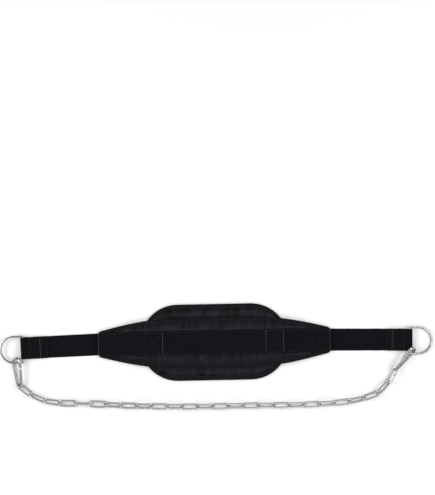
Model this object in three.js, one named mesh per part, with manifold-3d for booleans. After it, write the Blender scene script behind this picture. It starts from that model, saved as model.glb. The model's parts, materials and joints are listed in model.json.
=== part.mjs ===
import * as THREE from "three";
import { mergeVertices } from "three/addons/utils/BufferGeometryUtils.js";
import Module from "manifold-3d";

// Dip belt laid open on a table, its chain clipped to both D-rings and hanging towards -Y.
// Millimetres: X runs along the belt, Y across it, Z up from the table that it lies on.

// Driving sizes

const CLEARANCE = 0.3;

const PAD_LENGTH = 312;
const PAD_WIDTH = 160;
const PAD_PRESSED = 6;
const PAD_PUFF = 2.2;
const PAD_RIM = 2.9;
const PAD_PUCKER = 0.5;
const PAD_TAPE_WIDTH = 7.5;

const PANEL_LENGTH = 490;
const PANEL_WIDTH = 106;
const PANEL_THICKNESS = 4.7;
const PANEL_PUFF = 1.5;
const PANEL_RIM = 2;
const PANEL_PUCKER = 0.4;
const PANEL_TAPE_WIDTH = 8;
const PANEL_CORNER = 8;
const TAPE_THICKNESS = 1;

const WEBBING_WIDTH = 50;
const WEBBING_THICKNESS = 2;

const STRAP_WIDTH = 46;
const STRAP_THICKNESS = 1.8;
const STRAP_TUCK = 38;
const STRAP_FOLD_BACK = 58;
const STRAP_RISE_LENGTH = 74;

const RING_INNER_WIDTH = 50.8;
const RING_WIRE = 4;
const RING_STRAIGHT = 18;
const RING_CORNER = 2.6;

const HOOK_LENGTH = 68;
const HOOK_WIRE = 6;
const HOOK_WIDE_RADIUS = 10;
const HOOK_NARROW_RADIUS = 6;
const HINGE_SHARE = 0.26;
const GATE_LENGTH = 24;
const GATE_ROD = 5.5;
const GATE_PIN = 1.8;

const LINK_COUNT = 26;
const LINK_WIRE = 4;
const LINK_INNER_WIDTH = 8;
const LINK_SLACK = 1.6;
const CHAIN_DEPTH = 69.5;
const LINK_ROLL = 45;

// What differs between the two ends: reach past the panel, how the strap, ring and hook lie

const ENDS = [
  {
    name: "left",
    way: -1,
    reach: 161,
    strap_turn: 1.65,
    end_lift: 3.4,
    ring_tilt: 3,
    ring_shift: 2,
    hook_out: 13.6,
    hook_down: 29.5,
    hook_heading: 99.8,
    hook_roll: 40,
    hook_mirror: -1,
    gate_high: true,
    seat_along: 0.5,
    seat_left: 3,
    seat_up: 2.5,
  },
  {
    name: "right",
    way: 1,
    reach: 170,
    strap_turn: -1.1,
    end_lift: 5,
    ring_tilt: -8.5,
    ring_shift: 1.5,
    hook_out: 1,
    hook_down: 24.5,
    hook_heading: 45,
    hook_roll: 55,
    hook_mirror: 1,
    gate_high: false,
    seat_along: 1,
    seat_left: 1,
    seat_up: -0.5,
  },
];

// Half width of the panel, in shares of its half length and of its greatest half width

const PANEL_OUTLINE = [
  { along: 0, half: 1 },
  { along: 0.29, half: 0.982 },
  { along: 0.57, half: 0.906 },
  { along: 0.776, half: 0.738 },
  { along: 1, half: 0.49 },
];

// Route of the chain, in shares of the distance between the hooks and of the chain's depth

const CHAIN_ROUTE = [
  { along: 0, down: 0 },
  { along: 0.03, down: 0.307 },
  { along: 0.062, down: 0.506 },
  { along: 0.1, down: 0.602 },
  { along: 0.177, down: 0.664 },
  { along: 0.299, down: 0.798 },
  { along: 0.46, down: 0.907 },
  { along: 0.625, down: 0.959 },
  { along: 0.747, down: 1 },
  { along: 0.87, down: 0.963 },
  { along: 0.951, down: 0.738 },
  { along: 0.979, down: 0.397 },
  { along: 1, down: 0 },
];

// Links that lie turned away from the usual roll, where the chain takes a quarter twist

const TWISTED_LINKS = {
  3: { roll: -55, lift: 0.68, climb: 0 },
  4: { roll: 20, lift: 1.16, climb: 1 },
  5: { roll: 90, lift: 1.76, climb: 0 },
  6: { roll: -25, lift: 0.76, climb: -1.5 },
};
const FIRST_LINK_AFTER_TWIST = 7;

const { smoothstep, degToRad, lerp, clamp } = THREE.MathUtils;

// Materials

const material = (name, color, roughness, metalness) =>
  new THREE.MeshStandardMaterial({ name, color, roughness, metalness });

const paddedCloth = (name) => material(name, 0x232327, 0.5, 0);
const tapeCloth = (name) => material(name, 0x101012, 0.75, 0);
const webbingCloth = (name) => material(name, 0x131316, 0.9, 0);
const platedSteel = (name) => material(name, 0xc9ccd0, 0.22, 1);

// Moves every vertex of a geometry and closes its seams

function reshape(geometry, place) {
  const spots = geometry.getAttribute("position");
  const spot = new THREE.Vector3();
  for (let i = 0; i < spots.count; i += 1) {
    spot.fromBufferAttribute(spots, i);
    place(spot);
    spots.setXYZ(i, spot.x, spot.y, spot.z);
  }
  geometry.deleteAttribute("normal");
  geometry.deleteAttribute("uv");
  const closed = mergeVertices(geometry, 1e-4);
  closed.computeVertexNormals();
  return closed;
}

// Solids that are cut or joined

const wasm = await Module();
wasm.setup();

function solidOf(geometry, matrix) {
  const plain = geometry.clone();
  plain.deleteAttribute("normal");
  plain.deleteAttribute("uv");
  if (matrix) plain.applyMatrix4(matrix);
  const closed = mergeVertices(plain, 1e-4);
  const vertProperties = new Float32Array(closed.getAttribute("position").array);
  const triVerts = new Uint32Array(closed.index.array);
  return new wasm.Manifold(new wasm.Mesh({ numProp: 3, vertProperties, triVerts }));
}

function geometryOf(solid) {
  const mesh = solid.getMesh();
  const geometry = new THREE.BufferGeometry();
  geometry.setAttribute("position", new THREE.BufferAttribute(mesh.vertProperties, 3));
  geometry.setIndex(new THREE.BufferAttribute(mesh.triVerts, 1));
  geometry.computeVertexNormals();
  return geometry;
}

function addMesh(parent, name, geometry, look) {
  const mesh = new THREE.Mesh(geometry, look(name));
  mesh.name = name;
  parent.add(mesh);
  return mesh;
}

// Points of an arc in a plane, both ends included

function arc(x, y, radius, from, to, steps) {
  return Array.from({ length: steps + 1 }, (_, i) => {
    const angle = degToRad(lerp(from, to, i / steps));
    return new THREE.Vector2(x + radius * Math.cos(angle), y + radius * Math.sin(angle));
  });
}

// Direction square to a path at each of its points, lengthened at the corners

function sideways(points, closed) {
  const last = points.length - 1;
  return points.map((point, i) => {
    const before = points[i > 0 ? i - 1 : closed ? last : 0];
    const after = points[i < last ? i + 1 : closed ? 0 : last];
    const arriving = point.clone().sub(before).normalize();
    const leaving = after.clone().sub(point).normalize();
    const along = arriving.clone().add(leaving).normalize();
    const way = leaving.lengthSq() > 0 ? leaving : arriving;
    return new THREE.Vector2(along.y, -along.x).divideScalar(along.dot(way));
  });
}

// Round wire bent into a closed loop that lies in the XY plane

function wireLoop(points, wire, sides) {
  const outward = sideways(points, true);
  const ring = new THREE.TorusGeometry(10 * wire, wire / 2, sides, points.length);
  return reshape(ring, (spot) => {
    const turn = Math.atan2(spot.y, spot.x) / (2 * Math.PI);
    const i = Math.round(turn * points.length + points.length) % points.length;
    const out = Math.hypot(spot.x, spot.y) - 10 * wire;
    spot.set(points[i].x + out * outward[i].x, points[i].y + out * outward[i].y, spot.z);
  });
}

// Round wire bent along an open path in the XY plane

function wirePath(points, wire, sides) {
  const across = sideways(points, false);
  const steps = points.length - 1;
  const rod = new THREE.CylinderGeometry(wire / 2, wire / 2, steps, sides, steps);
  return reshape(rod, (spot) => {
    const i = Math.round(spot.y + steps / 2);
    const out = spot.x;
    spot.set(points[i].x + out * across[i].x, points[i].y + out * across[i].y, spot.z);
  });
}

// Lengthwise shapes that several pieces of cloth share

const halfPanel = PANEL_LENGTH / 2;
const outlineAt = new THREE.CubicInterpolant(
  PANEL_OUTLINE.map((row) => row.along),
  PANEL_OUTLINE.map((row) => row.half),
  1,
);

function panelHalfWidth(x) {
  return (outlineAt.evaluate(Math.min(Math.abs(x) / halfPanel, 1))[0] * PANEL_WIDTH) / 2;
}

function cornerCut(x) {
  const into = Math.max(Math.abs(x) - (halfPanel - PANEL_CORNER), 0);
  return PANEL_CORNER - Math.sqrt(Math.max(PANEL_CORNER ** 2 - into ** 2, 0));
}

// The panel lies on the pad, then sinks to the straps that are sewn under its ends

const overPad = PAD_PRESSED + CLEARANCE;
const overStrap = STRAP_THICKNESS + CLEARANCE;
const sinkStart = PAD_LENGTH / 2 + 3;
const sinkEnd = halfPanel - STRAP_TUCK;

function panelUnderside(x) {
  return lerp(overPad, overStrap, smoothstep(Math.abs(x), sinkStart, sinkEnd));
}

function panelTop(x) {
  return panelUnderside(x) + PANEL_THICKNESS;
}

// The tape stops where the cross webbing starts to cover the panel's edge

let tapeEnd = halfPanel;
while (panelHalfWidth(tapeEnd) < WEBBING_WIDTH / 2 + PANEL_TAPE_WIDTH + CLEARANCE) tapeEnd -= 0.5;

// Stations along the belt, the same ones for every piece that follows the panel

const TAPE_STEPS = 26;
const tapeStations = Array.from({ length: TAPE_STEPS + 1 }, (_, i) =>
  lerp(-tapeEnd, tapeEnd, i / TAPE_STEPS),
);
const endStations = [tapeEnd + 5, ...[16, 8, 3.5, 0].map((inset) => halfPanel - inset)];
const stations = [
  ...endStations.map((x) => -x).reverse(),
  ...tapeStations,
  ...endStations,
];
const columns = stations.length - 1;
const columnOf = (share) => Math.round((share + 0.5) * columns);

// Point of a rounded oblong: a share of its perimeter, and how far out from its spine

const padRadius = PAD_WIDTH / 2;
const padSpine = (PAD_LENGTH - PAD_WIDTH) / 2;

function padSpot(turn, out) {
  const half = 2 * padSpine + Math.PI * padRadius;
  const walked = ((turn + 1) % 1) * 2 * half + padSpine;
  const side = Math.floor(walked / half) % 2 === 0 ? 1 : -1;
  const along = walked % half;
  if (along <= 2 * padSpine) return new THREE.Vector2(side * (along - padSpine), side * out);
  const angle = Math.PI / 2 - (along - 2 * padSpine) / padRadius;
  return new THREE.Vector2(side * (padSpine + out * Math.cos(angle)), side * out * Math.sin(angle));
}

// A cross-section carried round the pad's outline; a profile point is how far out, and how high

const PAD_STEPS = 56;

function roundThePad(profile, place) {
  const lathe = new THREE.LatheGeometry(
    profile.map(([out, high]) => new THREE.Vector2(PAD_WIDTH + out, high)).reverse(),
    PAD_STEPS,
  );
  return reshape(lathe, (spot) => {
    const out = Math.hypot(spot.x, spot.z) - PAD_WIDTH;
    const turn = Math.round((Math.atan2(spot.x, spot.z) / (2 * Math.PI)) * PAD_STEPS) / PAD_STEPS;
    const at = padSpot(turn, out);
    spot.set(at.x, at.y, place ? place(at, out, spot.y, turn) : spot.y);
  });
}

// Wide back pad: pressed flat under the panel, quilted up beyond it, thin inside its tape

const padEdge = padRadius - TAPE_THICKNESS - CLEARANCE;
const padRimLow = TAPE_THICKNESS + CLEARANCE;
const padRimHigh = padRimLow + PAD_RIM;
const padRimStart = padRadius - PAD_TAPE_WIDTH - CLEARANCE;

function padTop(at, out, turn) {
  const clear = Math.abs(at.y) - panelHalfWidth(at.x) - 6.5;
  const toRim = padRimStart - out;
  const swell = smoothstep(clear, 0, 7) * smoothstep(toRim, 0, 6);
  const wave = Math.cos(Math.PI * turn * PAD_STEPS) * PAD_PUCKER;
  const open = PAD_PRESSED + swell * (PAD_PUFF + wave);
  return lerp(open, padRimHigh, smoothstep(-toRim, -6, 0));
}

function backPad() {
  const shares = [padRimStart / padEdge, 0.88, 0.83, 0.76, 0.69, 0.6, 0.3, 0];
  const low = [0, 0.8, 0.87].map((share) => [share * padEdge, 0]);
  const rim = [
    [padRimStart - 0.5, padRimLow],
    [padEdge - 0.6, padRimLow],
    [padEdge, (padRimLow + padRimHigh) / 2],
    [padEdge - 0.6, padRimHigh],
  ];
  const high = shares.map((share) => [share * padEdge, 100]);
  return roundThePad([...low, ...rim, ...high], (at, out, level, turn) =>
    level < 100 ? level : padTop(at, out, turn),
  );
}

function padBinding() {
  const inner = padRadius - PAD_TAPE_WIDTH;
  const top = padRimHigh + CLEARANCE + TAPE_THICKNESS;
  const profile = [
    [inner, 0],
    [padRadius - 1, 0],
    [padRadius, 1],
    [padRadius, top - 1],
    [padRadius - 1, top],
    [inner, top],
    [inner, top - TAPE_THICKNESS],
    [padRadius - TAPE_THICKNESS, top - TAPE_THICKNESS],
    [padRadius - TAPE_THICKNESS, TAPE_THICKNESS],
    [inner, TAPE_THICKNESS],
    [inner, 0],
  ];
  return roundThePad(profile);
}

// Tapered panel: flat under the webbing, puffed beside it, thin inside its tape

function panelEdge(x) {
  const bound = 1 - smoothstep(Math.abs(x), tapeEnd + 0.5, tapeEnd + 5);
  return panelHalfWidth(x) - bound * (TAPE_THICKNESS + CLEARANCE) - cornerCut(x);
}

function taperPanel() {
  const shares = [0, 0.5, 0.62, 0.75, 0.84, 1];
  const box = new THREE.BoxGeometry(1, 1, 1, columns, 2 * (shares.length - 1), 1);
  return reshape(box, (spot) => {
    const column = columnOf(spot.x);
    const x = stations[column];
    const row = Math.round(Math.abs(spot.y) * 2 * (shares.length - 1));
    const y = shares[row] * panelEdge(x);
    const pinched = 1 - smoothstep(Math.abs(x), tapeEnd + 0.5, tapeEnd + 8);
    const rim = smoothstep(y, panelHalfWidth(x) - 13.5, panelHalfWidth(x) - 10.5);
    const beside = smoothstep(y, WEBBING_WIDTH / 2 + 5, WEBBING_WIDTH / 2 + 9);
    const wave = Math.cos(Math.PI * column) * PANEL_PUCKER;
    const puff = beside * (1 - rim) * (PANEL_PUFF + wave);
    const lowRim = panelUnderside(x) + TAPE_THICKNESS + CLEARANCE;
    const low = lerp(panelUnderside(x), lowRim, rim * pinched);
    const high = lerp(panelTop(x) + puff, lowRim + PANEL_RIM, rim * pinched);
    spot.set(x, Math.sign(spot.y) * y, spot.z < 0 ? low : high);
  });
}

function taperBinding(side) {
  const tall = 2 * TAPE_THICKNESS + 2 * CLEARANCE + PANEL_RIM;
  const wide = PANEL_TAPE_WIDTH;
  const thick = TAPE_THICKNESS;
  const section = new THREE.Shape([
    new THREE.Vector2(wide, 0),
    new THREE.Vector2(wide, thick),
    new THREE.Vector2(thick, thick),
    new THREE.Vector2(thick, tall - thick),
    new THREE.Vector2(wide, tall - thick),
    new THREE.Vector2(wide, tall),
    new THREE.Vector2(0.8, tall),
    new THREE.Vector2(0, tall - 0.8),
    new THREE.Vector2(0, 0.8),
    new THREE.Vector2(0.8, 0),
  ]);
  const bend = { depth: 1, steps: TAPE_STEPS, bevelEnabled: false };
  return reshape(new THREE.ExtrudeGeometry(section, bend), (spot) => {
    const x = -side * clamp(tapeStations[Math.round(spot.z * TAPE_STEPS)], 1 - tapeEnd, tapeEnd - 1);
    const y = side * (panelHalfWidth(x) - spot.x);
    spot.set(x, y, panelUnderside(x) + spot.y);
  });
}

function crossWebbing() {
  const box = new THREE.BoxGeometry(1, 1, 1, columns, 2, 1);
  return reshape(box, (spot) => {
    const x = clamp(stations[columnOf(spot.x)], 1 - halfPanel, halfPanel - 1);
    const half = WEBBING_WIDTH / 2 - cornerCut(x);
    const low = panelTop(x) + CLEARANCE;
    spot.set(x, 2 * spot.y * half, spot.z < 0 ? low : low + WEBBING_THICKNESS);
  });
}

// Strap: sewn under the panel's end, lies along the table, and folds back round the ring's bar

const barHole = RING_WIRE / 2 + 1.5 * CLEARANCE;
const loopRadius = barHole + STRAP_THICKNESS;

function strap(end) {
  const bar = end.reach - loopRadius;
  const start = -STRAP_TUCK;
  const thick = STRAP_THICKNESS;
  const fold = end.reach - STRAP_FOLD_BACK;
  const rise = end.reach - STRAP_RISE_LENGTH;
  const lift = (x) => end.end_lift * smoothstep(x, rise, bar);
  const spots = [[start, 0]];
  for (let i = 0; i <= 6; i += 1) spots.push([lerp(rise, bar - 9, i / 6), 0]);
  const nose = arc(bar, loopRadius, loopRadius, -90, 90, 8).map((p) => [p.x, p.y]);
  spots.push(...nose);
  for (let i = 0; i <= 4; i += 1) {
    const x = lerp(bar - 4, bar - 13, i / 4);
    spots.push([x, lerp(2 * loopRadius - 0.5, 2 * thick, smoothstep(bar - x, 3, 13))]);
  }
  spots.push([(fold + bar) / 2 - 6, 2 * thick], [fold, 2 * thick], [fold, thick]);
  spots.push([rise, thick], [start, thick]);
  const shape = new THREE.Shape(spots.map(([x, z]) => new THREE.Vector2(x, z + lift(x))));
  const hole = arc(bar, loopRadius, barHole, 150, -150, 10).map((p) => [p.x, p.y]);
  hole.push([bar - 8, thick + 0.35], [bar - 8, thick + 0.75]);
  shape.holes.push(new THREE.Path(hole.map(([x, z]) => new THREE.Vector2(x, z + lift(bar)))));
  const sheet = new THREE.ExtrudeGeometry(shape, { depth: STRAP_WIDTH, bevelEnabled: false });
  return reshape(sheet, (spot) => {
    spot.set(end.way * spot.x, end.way * (STRAP_WIDTH / 2 - spot.z), spot.y);
  });
}

// D-ring: its bar crosses the origin along Y, and it reaches out along X

function dRing() {
  const half = (RING_INNER_WIDTH + RING_WIRE) / 2;
  const inset = half - RING_CORNER;
  const points = [
    ...arc(RING_CORNER, -inset, RING_CORNER, -180, -90, 3),
    ...arc(RING_STRAIGHT, 0, half, -90, 90, 14),
    ...arc(RING_CORNER, inset, RING_CORNER, 90, 180, 3),
  ];
  return wireLoop(points, RING_WIRE, 8);
}

// Snap hook: a pear of round wire, its wide end at +X; the low limb runs along the X axis

const hookSpan = HOOK_LENGTH - HOOK_WIRE - HOOK_WIDE_RADIUS - HOOK_NARROW_RADIUS;
const limbAngle = Math.asin((HOOK_WIDE_RADIUS - HOOK_NARROW_RADIUS) / hookSpan);
const limbLength = hookSpan * Math.cos(limbAngle);
const hingeAlong = HINGE_SHARE * limbLength;
const tongueThickness = HOOK_WIRE / 3;
const noseAlong = hingeAlong + GATE_LENGTH + CLEARANCE + 0.2;
const latchDepth = 3.2;

// Flat frame of a hook: the limb that holds the gate runs along X at Y 0, the other limb lies at +Y

function hookBody() {
  const turn = THREE.MathUtils.radToDeg(limbAngle);
  const steps = [0, 0.35, 0.7, 1].map((s) => new THREE.Vector2(lerp(hingeAlong + 2.2, 0, s), 0));
  const centre = new THREE.Vector2(0, HOOK_NARROW_RADIUS);
  const narrow = arc(centre.x, centre.y, HOOK_NARROW_RADIUS, -90, -270 + 2 * turn, 7);
  const wide = arc(limbLength, HOOK_WIDE_RADIUS, HOOK_WIDE_RADIUS, 90 + 2 * turn, -90, 11);
  const nose = [new THREE.Vector2(noseAlong, 0)];
  const rod = solidOf(wirePath([...steps.slice(0, -1), ...narrow, ...wide, ...nose], HOOK_WIRE, 10));
  const cheek = new THREE.BoxGeometry(HOOK_WIRE, 2 * HOOK_WIRE, HOOK_WIRE);
  const shoulder = hingeAlong - HOOK_WIRE / 2 - CLEARANCE - 0.1 + HOOK_WIRE / 2;
  const reach = (HOOK_WIRE + tongueThickness) / 2;
  const move = (x, y, z) => new THREE.Matrix4().makeTranslation(x, y, z);
  const upper = solidOf(cheek, move(shoulder, 0, reach));
  const lower = solidOf(cheek, move(shoulder, 0, -reach));
  const pin = new THREE.CylinderGeometry(GATE_PIN / 2 + CLEARANCE, GATE_PIN / 2 + CLEARANCE, 8, 12);
  const hole = solidOf(pin.rotateX(Math.PI / 2), move(hingeAlong, 0, 0));
  const slit = new THREE.BoxGeometry(2 * latchDepth, 2 * HOOK_WIRE, tongueThickness + 0.4);
  const latch = solidOf(slit, move(noseAlong, 0, 0));
  return geometryOf(rod.subtract(upper).subtract(lower).subtract(hole).subtract(latch));
}

// Gate of a hook, its hinge pin at the origin and its tip towards +X

function hookGate() {
  const eye = HOOK_WIRE / 2 - 0.1;
  const move = (x, y, z) => new THREE.Matrix4().makeTranslation(x, y, z);
  const rod = new THREE.CylinderGeometry(GATE_ROD / 2, GATE_ROD / 2, GATE_LENGTH, 10);
  const barrel = new THREE.CylinderGeometry(eye, eye, GATE_ROD, 12).rotateX(Math.PI / 2);
  const gap = tongueThickness + 2 * CLEARANCE;
  const slot = new THREE.BoxGeometry(2 * (eye + 1.5), 3 * HOOK_WIRE, gap);
  const pin = new THREE.CylinderGeometry(GATE_PIN / 2, GATE_PIN / 2, GATE_ROD - 0.4, 12);
  const tongue = new THREE.BoxGeometry(2 * (latchDepth - 0.7), 3.4, tongueThickness - 0.3);
  const round = new THREE.CylinderGeometry(eye, eye, 4 * GATE_LENGTH, 10).rotateZ(-Math.PI / 2);
  const body = solidOf(rod.rotateZ(-Math.PI / 2), move(GATE_LENGTH / 2, 0, 0));
  return geometryOf(
    body
      .add(solidOf(barrel).intersect(solidOf(round)))
      .subtract(solidOf(slot))
      .add(solidOf(pin.rotateX(Math.PI / 2)))
      .add(solidOf(tongue, move(GATE_LENGTH, 0, 0))),
  );
}

// Chain link lying in the XY plane, long along X

const linkHalf = (LINK_INNER_WIDTH + LINK_WIRE) / 2;

function chainLink(innerLength) {
  const straight = (innerLength + LINK_WIRE) / 2 - linkHalf;
  const points = [
    ...arc(straight, 0, linkHalf, -90, 90, 4),
    ...arc(-straight, 0, linkHalf, 90, 270, 4),
  ];
  return wireLoop(points, LINK_WIRE, 6);
}

// Assembly

const belt = new THREE.Group();
belt.name = "dip_belt";

addMesh(belt, "back_pad", backPad(), paddedCloth);
addMesh(belt, "pad_binding", padBinding(), tapeCloth);
addMesh(belt, "taper_panel", taperPanel(), paddedCloth);
addMesh(belt, "taper_binding_upper", taperBinding(1), tapeCloth);
addMesh(belt, "taper_binding_lower", taperBinding(-1), tapeCloth);
addMesh(belt, "cross_webbing", crossWebbing(), webbingCloth);

// Each end: a turned strap that carries the ring, and the hook that lies on the table beside it

function layEnd(end) {
  const side = new THREE.Group();
  side.name = end.name + "_end";
  side.position.set(end.way * halfPanel, 0, 0);
  side.rotation.z = degToRad(end.strap_turn);
  belt.add(side);
  addMesh(side, "strap_" + end.name, strap(end), webbingCloth);

  const bar = end.reach - loopRadius;
  const ring = addMesh(side, "d_ring_" + end.name, dRing(), platedSteel);
  ring.position.set(end.way * bar, -end.ring_shift, loopRadius + end.end_lift);
  ring.rotation.set(0, -degToRad(end.ring_tilt), end.way > 0 ? 0 : Math.PI, "ZYX");

  // The hook's frame turns about its low limb, which lies on the table
  const hook = new THREE.Group();
  hook.name = end.name + "_hook";
  belt.add(hook);
  const heading = degToRad(end.hook_heading);
  const roll = degToRad(end.hook_roll);
  const flip = end.hook_mirror;
  hook.rotation.set(flip * roll, 0, heading, "ZYX");
  side.updateMatrixWorld(true);
  const eye = side.localToWorld(new THREE.Vector3(end.way * (bar + end.hook_out), -end.hook_down, 0));
  const wideCentre = new THREE.Vector3(limbLength, flip * HOOK_WIDE_RADIUS, 0).applyEuler(hook.rotation);
  hook.position.set(eye.x - wideCentre.x, eye.y - wideCentre.y, HOOK_WIRE / 2);

  // The gate sits either in the low limb or in the high one
  const flat = new THREE.Group();
  hook.add(flat);
  const turnedOver = end.gate_high !== flip < 0;
  flat.rotation.x = turnedOver ? Math.PI : 0;
  if (end.gate_high) {
    const top = new THREE.Vector3(0, flip * HOOK_NARROW_RADIUS, 0);
    const swing = 2 * limbAngle * flip;
    flat.rotation.set(turnedOver ? Math.PI : 0, 0, swing, "ZYX");
    const narrow = new THREE.Vector3(0, HOOK_NARROW_RADIUS, 0).applyEuler(flat.rotation);
    flat.position.copy(top).sub(narrow);
  }
  addMesh(flat, "hook_" + end.name, hookBody(), platedSteel);
  const gate = addMesh(flat, "gate_" + end.name, hookGate(), platedSteel);
  gate.position.x = hingeAlong;

  // Where the end link's wire passes through the hook's narrow end
  hook.updateMatrixWorld(true);
  const seat = hook.localToWorld(new THREE.Vector3(0, flip * HOOK_NARROW_RADIUS, 0));
  const shift = new THREE.Vector3(end.seat_along, end.seat_left, end.seat_up);
  return seat.add(shift.applyAxisAngle(new THREE.Vector3(0, 0, 1), heading));
}

const [leftSeat, rightSeat] = ENDS.map(layEnd);

// The chain's route, walked in equal steps that share its length between the links

const span = rightSeat.clone().sub(leftSeat).setZ(0);
const below = new THREE.Vector3(span.y, -span.x, 0).normalize().multiplyScalar(CHAIN_DEPTH);
const route = new THREE.CatmullRomCurve3(
  CHAIN_ROUTE.map(({ along, down }) =>
    leftSeat.clone().setZ(0).addScaledVector(span, along).addScaledVector(below, down),
  ),
  false,
  "centripetal",
);
const walk = route.getSpacedPoints(1200);

// An end link's wire sits in its hook, so it reaches this much past the step between two links
const endReach = (LINK_SLACK + LINK_WIRE) / 2;

function joints(step) {
  const found = [walk[0]];
  for (const point of walk) {
    const stride = found.length === 1 ? step + endReach : step;
    if (found.length < LINK_COUNT && point.distanceTo(found[found.length - 1]) >= stride) {
      found.push(point);
    }
  }
  return found;
}

const chainHeight = linkHalf * Math.sin(degToRad(LINK_ROLL)) + LINK_WIRE / 2;
const finish = walk[walk.length - 1];
let short = 0;
let long = (1.5 * route.getLength()) / LINK_COUNT;
for (let i = 0; i < 40; i += 1) {
  const middle = (short + long) / 2;
  const found = joints(middle);
  const left = found[found.length - 1].distanceTo(finish);
  if (found.length === LINK_COUNT && left >= middle + endReach) short = middle;
  else long = middle;
}
const pitch = short;
const stops = [...joints(pitch), finish];
stops.forEach((stop) => stop.setZ(chainHeight));
stops[0].setZ(leftSeat.z);
stops[LINK_COUNT].setZ(rightSeat.z);
const inwards = (from, to) => from.clone().add(to.clone().sub(from).setLength(endReach));
stops[0] = inwards(stops[0], stops[1]);
stops[LINK_COUNT] = inwards(stops[LINK_COUNT], stops[LINK_COUNT - 1]);

function rollOf(number) {
  if (number in TWISTED_LINKS) return TWISTED_LINKS[number].roll;
  const odd = number % 2 === 1;
  const down = number < FIRST_LINK_AFTER_TWIST ? odd : !odd;
  return down ? -LINK_ROLL : LINK_ROLL;
}

const innerLength = pitch + LINK_SLACK;
for (let number = 1; number <= LINK_COUNT; number += 1) {
  const from = stops[number - 1];
  const to = stops[number];
  const roll = degToRad(rollOf(number));
  const link = addMesh(
    belt,
    "link_" + String(number).padStart(2, "0"),
    chainLink(innerLength),
    platedSteel,
  );
  const twisted = TWISTED_LINKS[number] ?? { lift: 0, climb: 0 };
  const along = to.clone().sub(from);
  link.position.addVectors(from, to).multiplyScalar(0.5);
  link.position.z += twisted.lift;
  const climb = Math.atan2(along.z, Math.hypot(along.x, along.y)) + degToRad(twisted.climb);
  link.rotation.set(roll, -climb, Math.atan2(along.y, along.x), "ZYX");
}

export default belt;
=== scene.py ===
import json
import math

import bpy
import numpy as np
from bpy.props import FloatProperty, FloatVectorProperty, IntProperty, PointerProperty
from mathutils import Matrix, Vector, noise


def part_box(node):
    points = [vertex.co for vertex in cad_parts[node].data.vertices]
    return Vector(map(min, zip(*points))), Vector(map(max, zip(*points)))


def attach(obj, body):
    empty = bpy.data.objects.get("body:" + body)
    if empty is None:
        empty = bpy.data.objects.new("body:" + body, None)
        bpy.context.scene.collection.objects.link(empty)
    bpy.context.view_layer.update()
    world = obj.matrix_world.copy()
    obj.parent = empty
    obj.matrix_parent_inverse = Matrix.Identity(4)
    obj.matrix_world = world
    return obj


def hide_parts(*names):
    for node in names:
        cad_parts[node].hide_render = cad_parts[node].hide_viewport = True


bl_info = {
    "name": "Dip Belt",
    "version": (1, 0, 0),
    "blender": (4, 5, 0),
    "location": "3D View > Sidebar > Dip Belt",
    "description": "A padded dip belt in cloth, webbing, stitching and chromed steel",
    "category": "Object",
}

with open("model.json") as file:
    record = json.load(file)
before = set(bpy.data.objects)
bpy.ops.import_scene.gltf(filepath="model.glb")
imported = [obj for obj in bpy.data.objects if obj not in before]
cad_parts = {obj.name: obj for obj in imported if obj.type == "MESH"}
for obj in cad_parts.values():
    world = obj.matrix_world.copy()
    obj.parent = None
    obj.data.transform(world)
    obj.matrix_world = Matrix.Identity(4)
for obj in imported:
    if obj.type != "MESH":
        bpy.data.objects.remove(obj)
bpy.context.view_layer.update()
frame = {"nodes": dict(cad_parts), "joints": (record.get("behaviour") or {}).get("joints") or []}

# Lengths are in metres. X runs along the belt, Y across it and Z up from the table.
MM = 0.001
ENDS = ("left", "right")
LINKS = sorted(name for name in frame["nodes"] if name.startswith("link_"))
# Clear space between two layers of cloth that lie on each other
LAYER_GAP = 0.3 * MM
# Distance of a tape's seam from the tape's fold
SEAM_INSET = 5.4 * MM
# The cloth solver is made for large cloth, so the padding settles at this many times its size
SETTLING_SCALE = 10
# Ends of the two inner boxes whose thread is given a painted highlight, by the side that the box is
# on
PAINTED_HIGHLIGHT_INNER_ENDS = {-1: (1,), 1: (-1, 1)}


# Settings


def length(name, millimetres, about):
    return FloatProperty(
        name=name, description=about, default=millimetres * MM, min=0, unit="LENGTH", precision=4
    )


def share(name, value, about):
    return FloatProperty(
        name=name, description=about, default=value, min=0, max=1, subtype="FACTOR"
    )


def strength(name, value, about):
    return FloatProperty(name=name, description=about, default=value, min=0)


def colour(name, value, about):
    return FloatVectorProperty(
        name=name, description=about, default=value, size=3, min=0, max=1, subtype="COLOR"
    )


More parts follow.
